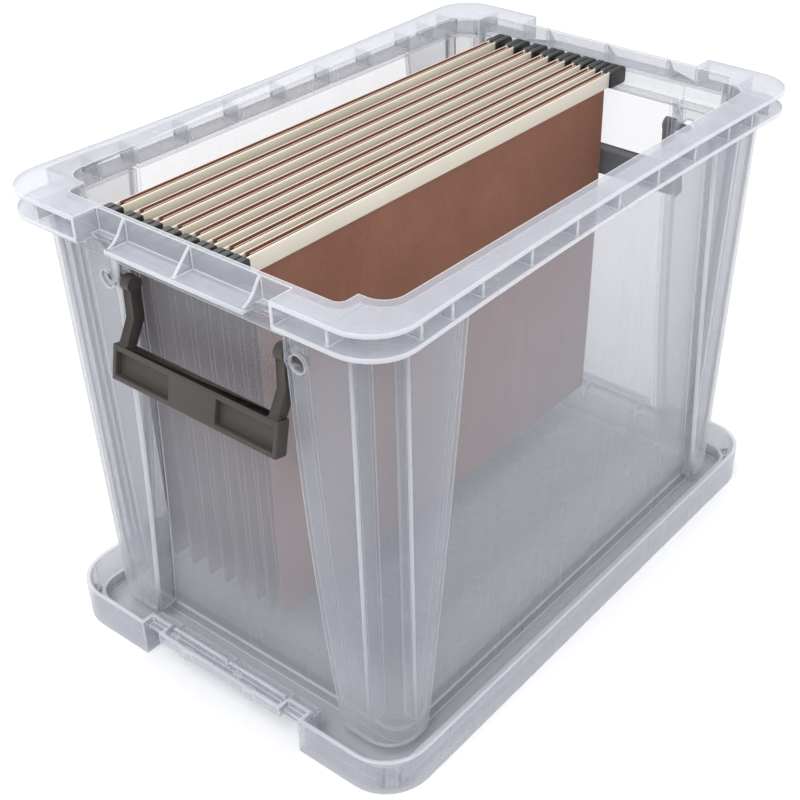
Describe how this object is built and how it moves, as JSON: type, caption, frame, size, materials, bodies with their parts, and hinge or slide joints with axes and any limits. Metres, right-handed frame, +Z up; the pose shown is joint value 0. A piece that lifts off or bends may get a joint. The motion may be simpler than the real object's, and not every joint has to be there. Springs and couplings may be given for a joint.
{
  "type": "portable file box",
  "caption": "Tall see-through file box that stands in its upturned lid, with swinging end handles, hollow corner columns and hanging suspension files.",
  "frame": {"origin": "centre of the upturned lid's underside, on the ground", "axes": "+X along the box towards the far handle, +Y across it, +Z up"},
  "size_m": [0.4012, 0.2648, 0.288],
  "materials": {
    "tub_plastic": "translucent natural polypropylene, lightly frosted",
    "lid_plastic": "translucent natural polypropylene, lightly frosted",
    "handle_plastic": "satin dark olive-grey polypropylene",
    "file_card": "matt brown manila card",
    "file_rail": "champagne-coloured coated steel rail",
    "hook_plastic": "black moulded plastic"
  },
  "bodies": {
    "lid": {"lid": "lid_plastic"},
    "tub": {"tub": "tub_plastic"},
    "handle_near": {"handle_near": "handle_plastic"},
    "handle_far": {"handle_far": "handle_plastic"},
    "file_1": {"file_1_card": "file_card", "file_1_rails": "file_rail", "file_1_hooks": "hook_plastic"},
    "file_2": {"file_2_card": "file_card", "file_2_rails": "file_rail", "file_2_hooks": "hook_plastic"},
    "file_3": {"file_3_card": "file_card", "file_3_rails": "file_rail", "file_3_hooks": "hook_plastic"},
    "file_4": {"file_4_card": "file_card", "file_4_rails": "file_rail", "file_4_hooks": "hook_plastic"},
    "file_5": {"file_5_card": "file_card", "file_5_rails": "file_rail", "file_5_hooks": "hook_plastic"},
    "file_6": {"file_6_card": "file_card", "file_6_rails": "file_rail", "file_6_hooks": "hook_plastic"},
    "file_7": {"file_7_card": "file_card", "file_7_rails": "file_rail", "file_7_hooks": "hook_plastic"},
    "file_8": {"file_8_card": "file_card", "file_8_rails": "file_rail", "file_8_hooks": "hook_plastic"}
  },
  "joints": [
    {"name": "tub_lift", "type": "slide", "parent": "lid", "child": "tub", "axis": [0, 0, 1], "range_m": [0, 0.3]},
    {"name": "handle_near_swing", "type": "hinge", "parent": "tub", "child": "handle_near", "pos_m": [-0.177, 0, 0.248], "axis": [0, 1, 0], "range_deg": [0, 135]},
    {"name": "handle_far_swing", "type": "hinge", "parent": "tub", "child": "handle_far", "pos_m": [0.177, 0, 0.248], "axis": [0, -1, 0], "range_deg": [0, 135]},
    {"name": "file_1_lift", "type": "slide", "parent": "tub", "child": "file_1", "axis": [0, 0, 1], "range_m": [0, 0.28]},
    {"name": "file_2_lift", "type": "slide", "parent": "tub", "child": "file_2", "axis": [0, 0, 1], "range_m": [0, 0.28]},
    {"name": "file_3_lift", "type": "slide", "parent": "tub", "child": "file_3", "axis": [0, 0, 1], "range_m": [0, 0.28]},
    {"name": "file_4_lift", "type": "slide", "parent": "tub", "child": "file_4", "axis": [0, 0, 1], "range_m": [0, 0.28]},
    {"name": "file_5_lift", "type": "slide", "parent": "tub", "child": "file_5", "axis": [0, 0, 1], "range_m": [0, 0.28]},
    {"name": "file_6_lift", "type": "slide", "parent": "tub", "child": "file_6", "axis": [0, 0, 1], "range_m": [0, 0.28]},
    {"name": "file_7_lift", "type": "slide", "parent": "tub", "child": "file_7", "axis": [0, 0, 1], "range_m": [0, 0.28]},
    {"name": "file_8_lift", "type": "slide", "parent": "tub", "child": "file_8", "axis": [0, 0, 1], "range_m": [0, 0.28]}
  ]
}
